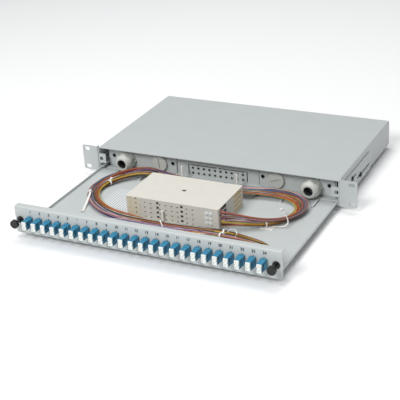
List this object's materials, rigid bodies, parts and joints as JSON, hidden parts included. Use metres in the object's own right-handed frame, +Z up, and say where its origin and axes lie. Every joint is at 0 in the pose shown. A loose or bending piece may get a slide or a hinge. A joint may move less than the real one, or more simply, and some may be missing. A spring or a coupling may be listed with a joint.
{
  "type": "fibre splice box",
  "caption": "Slide-out rack-mount fibre splice box: sheet-steel housing, drawer with adapter panel, splice cassettes, cable glands and coiled fibre pigtails.",
  "frame": {"origin": "midway between the ears, under their front plane, on the underside of the base plate", "axes": "+X to the right seen from the front, +Y from the front panel to the back, +Z up"},
  "size_m": [0.4826, 0.5183, 0.044],
  "materials": {
    "housing_paint": "light grey powder coat, fine texture",
    "drawer_paint": "light grey powder coat, satin",
    "blackened_steel": "blackened",
    "zinc_steel": "zinc plated",
    "gland_polyamide": "moulded polyamide",
    "seal_rubber": "matt",
    "black_nylon": "moulded",
    "adapter_blue": "moulded, satin gloss",
    "connector_blue": "moulded",
    "cassette_cream": "moulded, cream",
    "sleeve_aluminium": "crimped",
    "white_nylon": "moulded, slightly translucent",
    "label_paper": "blank",
    "cap_white": "moulded",
    "fibre_jacket": "coloured buffer jackets"
  },
  "bodies": {
    "housing": {"top_cover": "housing_paint", "base_plate": "housing_paint", "ear_bracket_left": "housing_paint", "ear_bracket_right": "housing_paint", "bracket_screws": "blackened_steel"},
    "drawer": {"drawer_tray": "drawer_paint", "front_panel": "drawer_paint", "rear_wall": "drawer_paint", "gland_plate_left": "drawer_paint", "gland_plate_right": "drawer_paint", "gland_plate_screws": "zinc_steel", "gland_bodies": "gland_polyamide", "gland_seals": "seal_rubber", "locknuts": "gland_polyamide", "blind_plugs": "gland_polyamide", "latch_grommets": "black_nylon", "fibre_adapters": "adapter_blue", "pigtail_connectors": "connector_blue", "cassette_carrier": "cassette_cream", "splice_cassette_1": "cassette_cream", "splice_cassette_2": "cassette_cream", "splice_cassette_3": "cassette_cream", "splice_cassette_4": "cassette_cream", "stack_screw": "zinc_steel", "splice_sleeves": "sleeve_aluminium", "fibre_posts": "white_nylon", "tray_label": "label_paper", "cable_ties": "white_nylon", "fibre_bundle_lower": "fibre_jacket", "fibre_bundle_upper": "fibre_jacket", "pigtail_tails": "fibre_jacket"},
    "cassette_lid": {"cassette_lid": "cassette_cream"},
    "gland_nut_left": {"gland_nut_left": "gland_polyamide"},
    "latch_plunger_left": {"latch_plunger_left": "black_nylon"},
    "gland_nut_right": {"gland_nut_right": "gland_polyamide"},
    "latch_plunger_right": {"latch_plunger_right": "black_nylon"},
    "dust_cap_01": {"dust_cap_01": "cap_white"},
    "dust_cap_02": {"dust_cap_02": "cap_white"},
    "dust_cap_03": {"dust_cap_03": "cap_white"},
    "dust_cap_04": {"dust_cap_04": "cap_white"},
    "dust_cap_05": {"dust_cap_05": "cap_white"},
    "dust_cap_06": {"dust_cap_06": "cap_white"},
    "dust_cap_07": {"dust_cap_07": "cap_white"},
    "dust_cap_08": {"dust_cap_08": "cap_white"},
    "dust_cap_09": {"dust_cap_09": "cap_white"},
    "dust_cap_10": {"dust_cap_10": "cap_white"},
    "dust_cap_11": {"dust_cap_11": "cap_white"},
    "dust_cap_12": {"dust_cap_12": "cap_white"},
    "dust_cap_13": {"dust_cap_13": "cap_white"},
    "dust_cap_14": {"dust_cap_14": "cap_white"},
    "dust_cap_15": {"dust_cap_15": "cap_white"},
    "dust_cap_16": {"dust_cap_16": "cap_white"},
    "dust_cap_17": {"dust_cap_17": "cap_white"},
    "dust_cap_18": {"dust_cap_18": "cap_white"},
    "dust_cap_19": {"dust_cap_19": "cap_white"},
    "dust_cap_20": {"dust_cap_20": "cap_white"},
    "dust_cap_21": {"dust_cap_21": "cap_white"},
    "dust_cap_22": {"dust_cap_22": "cap_white"},
    "dust_cap_23": {"dust_cap_23": "cap_white"},
    "dust_cap_24": {"dust_cap_24": "cap_white"}
  },
  "joints": [
    {"name": "drawer_slide", "type": "slide", "parent": "housing", "child": "drawer", "axis": [0, 1, 0], "range_m": [0, 0.2276]},
    {"name": "lid_lift", "type": "slide", "parent": "drawer", "child": "cassette_lid", "axis": [0, 0, -1], "range_m": [-0.04, 0]},
    {"name": "gland_nut_left_turn", "type": "hinge", "parent": "drawer", "child": "gland_nut_left", "pos_m": [-0.1645, 0, 0.02], "axis": [0, 1, 0], "range_deg": [-360, 0]},
    {"name": "latch_left_push", "type": "slide", "parent": "drawer", "child": "latch_plunger_left", "axis": [0, 1, 0], "range_m": [0, 0.012]},
    {"name": "gland_nut_right_turn", "type": "hinge", "parent": "drawer", "child": "gland_nut_right", "pos_m": [0.1645, 0, 0.02], "axis": [0, 1, 0], "range_deg": [-360, 0]},
    {"name": "latch_right_push", "type": "slide", "parent": "drawer", "child": "latch_plunger_right", "axis": [0, 1, 0], "range_m": [0, 0.012]},
    {"name": "dust_cap_01_pull", "type": "slide", "parent": "drawer", "child": "dust_cap_01", "axis": [0, -1, 0], "range_m": [0, 0.02]},
    {"name": "dust_cap_02_pull", "type": "slide", "parent": "drawer", "child": "dust_cap_02", "axis": [0, -1, 0], "range_m": [0, 0.02]},
    {"name": "dust_cap_03_pull", "type": "slide", "parent": "drawer", "child": "dust_cap_03", "axis": [0, -1, 0], "range_m": [0, 0.02]},
    {"name": "dust_cap_04_pull", "type": "slide", "parent": "drawer", "child": "dust_cap_04", "axis": [0, -1, 0], "range_m": [0, 0.02]},
    {"name": "dust_cap_05_pull", "type": "slide", "parent": "drawer", "child": "dust_cap_05", "axis": [0, -1, 0], "range_m": [0, 0.02]},
    {"name": "dust_cap_06_pull", "type": "slide", "parent": "drawer", "child": "dust_cap_06", "axis": [0, -1, 0], "range_m": [0, 0.02]},
    {"name": "dust_cap_07_pull", "type": "slide", "parent": "drawer", "child": "dust_cap_07", "axis": [0, -1, 0], "range_m": [0, 0.02]},
    {"name": "dust_cap_08_pull", "type": "slide", "parent": "drawer", "child": "dust_cap_08", "axis": [0, -1, 0], "range_m": [0, 0.02]},
    {"name": "dust_cap_09_pull", "type": "slide", "parent": "drawer", "child": "dust_cap_09", "axis": [0, -1, 0], "range_m": [0, 0.02]},
    {"name": "dust_cap_10_pull", "type": "slide", "parent": "drawer", "child": "dust_cap_10", "axis": [0, -1, 0], "range_m": [0, 0.02]},
    {"name": "dust_cap_11_pull", "type": "slide", "parent": "drawer", "child": "dust_cap_11", "axis": [0, -1, 0], "range_m": [0, 0.02]},
    {"name": "dust_cap_12_pull", "type": "slide", "parent": "drawer", "child": "dust_cap_12", "axis": [0, -1, 0], "range_m": [0, 0.02]},
    {"name": "dust_cap_13_pull", "type": "slide", "parent": "drawer", "child": "dust_cap_13", "axis": [0, -1, 0], "range_m": [0, 0.02]},
    {"name": "dust_cap_14_pull", "type": "slide", "parent": "drawer", "child": "dust_cap_14", "axis": [0, -1, 0], "range_m": [0, 0.02]},
    {"name": "dust_cap_15_pull", "type": "slide", "parent": "drawer", "child": "dust_cap_15", "axis": [0, -1, 0], "range_m": [0, 0.02]},
    {"name": "dust_cap_16_pull", "type": "slide", "parent": "drawer", "child": "dust_cap_16", "axis": [0, -1, 0], "range_m": [0, 0.02]},
    {"name": "dust_cap_17_pull", "type": "slide", "parent": "drawer", "child": "dust_cap_17", "axis": [0, -1, 0], "range_m": [0, 0.02]},
    {"name": "dust_cap_18_pull", "type": "slide", "parent": "drawer", "child": "dust_cap_18", "axis": [0, -1, 0], "range_m": [0, 0.02]},
    {"name": "dust_cap_19_pull", "type": "slide", "parent": "drawer", "child": "dust_cap_19", "axis": [0, -1, 0], "range_m": [0, 0.02]},
    {"name": "dust_cap_20_pull", "type": "slide", "parent": "drawer", "child": "dust_cap_20", "axis": [0, -1, 0], "range_m": [0, 0.02]},
    {"name": "dust_cap_21_pull", "type": "slide", "parent": "drawer", "child": "dust_cap_21", "axis": [0, -1, 0], "range_m": [0, 0.02]},
    {"name": "dust_cap_22_pull", "type": "slide", "parent": "drawer", "child": "dust_cap_22", "axis": [0, -1, 0], "range_m": [0, 0.02]},
    {"name": "dust_cap_23_pull", "type": "slide", "parent": "drawer", "child": "dust_cap_23", "axis": [0, -1, 0], "range_m": [0, 0.02]},
    {"name": "dust_cap_24_pull", "type": "slide", "parent": "drawer", "child": "dust_cap_24", "axis": [0, -1, 0], "range_m": [0, 0.02]}
  ]
}
